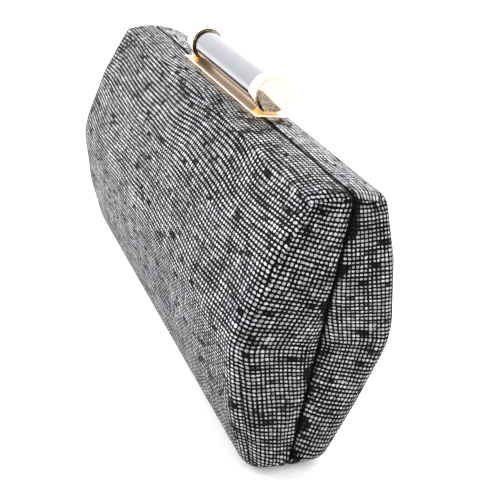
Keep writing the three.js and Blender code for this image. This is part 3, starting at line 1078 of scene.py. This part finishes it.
# Clasp caps.
# Two turned brass caps, gold plated and mirror polished, hold the rod's ends in sockets. Each has a
# rounded rim, a fine turned line just inside it, a slightly domed end and a flat where it stands.
LINE_OUTER = 6.64
LINE_INNER = 6.36
DOME_RISE = 0.38
cap_profile = (
    [(CAP_INNER + 2.4, 0), (CAP_INNER + 2.4, ROD_RADIUS + 0.08), (CAP_INNER + 1.5, ROD_RADIUS + 0.08)]
    + [(CAP_INNER + 1.4, ROD_RADIUS + 0.55), (CAP_INNER + 0.25, ROD_RADIUS + 0.63)]
    + rounded(CAP_INNER + 0.25, CAP_RADIUS - 0.3, 0.27, 250, 90, 8)
    + rounded(CAP_OUTER - 0.65, CAP_RADIUS - 0.28, 0.25, 90, 8, 6)
    + [(CAP_OUTER - 0.40, LINE_OUTER), (CAP_OUTER - 0.62, 6.56), (CAP_OUTER - 0.62, 6.44)]
    + [(CAP_OUTER - DOME_RISE, LINE_INNER)]
)
for share in np.linspace(0.95, 0.0, 14):
    cap_profile.append((CAP_OUTER - DOME_RISE * share * share, LINE_INNER * share if share > 0 else 0))
for cap_side, cap_end in (("left", -1), ("right", 1)):
    profile = [(cap_end * x, radius) for x, radius in cap_profile]
    cap_mesh = turned_mesh("cap_" + cap_side, profile, 96)
    cap_mesh.transform(Matrix.Translation((0, 0, ROD_AXIS_Z * MM)))
    for corner in cap_mesh.vertices:
        corner.co.z = max(corner.co.z, (PLATE_TOP + 0.01) * MM)
    cap_mesh.materials.append(gold)
    cap = put_in_scene("cap_" + cap_side, cap_mesh)
    smooth_by_angle(cap_mesh, 38)
    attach(cap, "clasp")
    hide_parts("clasp_cap_" + cap_side)

# Clasp rod.
# A round rod of dark polished metal fills the space between the caps and runs into their sockets.
ROD_HALF = 31.8
rod_dark, rod_tree, rod_shader = new_finish("dark_polished_rod")
grain_finish(
    rod_dark, rod_tree, rod_shader,
    (0.255, 0.262, 0.280), (0.270, 0.278, 0.296), 0.07, 0.10, 120, 0.000002,
)
rod_shader.inputs["Metallic"].default_value = 1.0
rod_mesh = turned_mesh(
    "rod",
    [(-ROD_HALF, 0), (-ROD_HALF, ROD_RADIUS - 0.2), (-ROD_HALF + 0.2, ROD_RADIUS)]
    + [(x, ROD_RADIUS) for x in np.linspace(-24, 24, 5)]
    + [(ROD_HALF - 0.2, ROD_RADIUS), (ROD_HALF, ROD_RADIUS - 0.2), (ROD_HALF, 0)],
    128,
)
rod_mesh.transform(Matrix.Translation((0, 0, ROD_AXIS_Z * MM)))
rod_mesh.materials.append(rod_dark)
rod = put_in_scene("rod", rod_mesh)
smooth_by_angle(rod_mesh, 30)
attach(rod, "clasp")
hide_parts("clasp_rod")

# Clasp hinge.
# A small gold-plated leaf is screwed to the top of the back half. Its rolled barrel and a pin carry the
# clasp's two knuckles.
LEAF_HALF = 12.0
LEAF_FROM = 7.0
LEAF_TO = 12.4
LEAF_THICKNESS = 0.75
LEAF_SLOPE = math.radians(15.5)
PIN_HALF = 18.3
PIN_RADIUS = 0.48
SCREW_PITCH = 8.2
SCREW_DEPTH = 10.5


def panel_top(y):
    """The height of the back half's top panel, in mm, at a depth from the seam."""
    hit, way, face, far = outer_skin.ray_cast(Vector((0, y, 130)), Vector((0, 0, -1)))
    return hit.z


leaf_shape = bmesh.new()
leaf_low = [(y, panel_top(y) + 0.05) for y in np.linspace(LEAF_FROM, LEAF_TO, 5)]
leaf_high = [(y, z + LEAF_THICKNESS) for y, z in reversed(leaf_low)]
prism(leaf_shape, leaf_low + leaf_high, -LEAF_HALF, LEAF_HALF)
leaf_corners = [
    edge for edge in leaf_shape.edges
    if all(v.co.y > (LEAF_TO - 0.01) * MM for v in edge.verts)
    and abs(edge.verts[0].co.x - edge.verts[1].co.x) < 0.1 * MM
]
bmesh.ops.bevel(
    leaf_shape, geom=leaf_corners, offset=1.4 * MM, segments=5, profile=0.5, affect="EDGES"
)
bmesh.ops.bevel(
    leaf_shape,
    geom=[e for e in leaf_shape.edges if e.calc_face_angle(0) > 0.5],
    offset=0.12 * MM, segments=2, profile=0.5, affect="EDGES",
)
leaf_mesh = bpy.data.meshes.new("hinge_leaf")
leaf_shape.to_mesh(leaf_mesh)
leaf_shape.free()
clean_up(leaf_mesh)
barrel_mesh = turned_mesh("hinge_barrel", bar_profile(LEAF_HALF, KNUCKLE_RADIUS, 4, 0.5), 40)
clasp_pin_mesh = turned_mesh("hinge_pin", bar_profile(PIN_HALF, PIN_RADIUS, 4), 24)
for turned_part in (barrel_mesh, clasp_pin_mesh):
    turned_part.transform(Matrix.Translation((0, CLASP_AXIS_Y * MM, CLASP_AXIS_Z * MM)))
screw_shape = bmesh.new()
for screw_side in (-1, 1):
    head = [(screw_side * 0.13, -0.95), (screw_side * 0.13, 0.95)]
    for turn in range(82, -83, -12):
        angle = math.radians(turn)
        head.append((screw_side * math.cos(angle), math.sin(angle)))
    prism(screw_shape, head, 0.02, 0.16)
disc = [(math.cos(math.radians(15 * n)), math.sin(math.radians(15 * n))) for n in range(24)]
prism(screw_shape, disc, -0.2, 0.03)
screw_mesh = bpy.data.meshes.new("hinge_screws")
screw_shape.to_mesh(screw_mesh)
screw_shape.free()
leaf_way = Vector((0, math.sin(LEAF_SLOPE), math.cos(LEAF_SLOPE)))
screw_mesh.transform(Vector((1, 0, 0)).rotation_difference(leaf_way).to_matrix().to_4x4())
screws = grown_from(
    "hinge_screws", screw_mesh, row_tree, {"Count": 3, "Pitch": SCREW_PITCH * MM, "Material": gold}
)
screw_height = panel_top(SCREW_DEPTH) + 0.05 + LEAF_THICKNESS
screws.data.transform(Matrix.Translation((-SCREW_PITCH * MM, SCREW_DEPTH * MM, screw_height * MM)))
hinge_parts = [put_in_scene(mesh.name, mesh) for mesh in (leaf_mesh, barrel_mesh, clasp_pin_mesh)]
for hinge_part in hinge_parts:
    hinge_part.data.materials.append(gold)
for hinge_part in hinge_parts + [screws]:
    smooth_by_angle(hinge_part.data, 32)
    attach(hinge_part, "back")
    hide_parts("clasp_hinge")
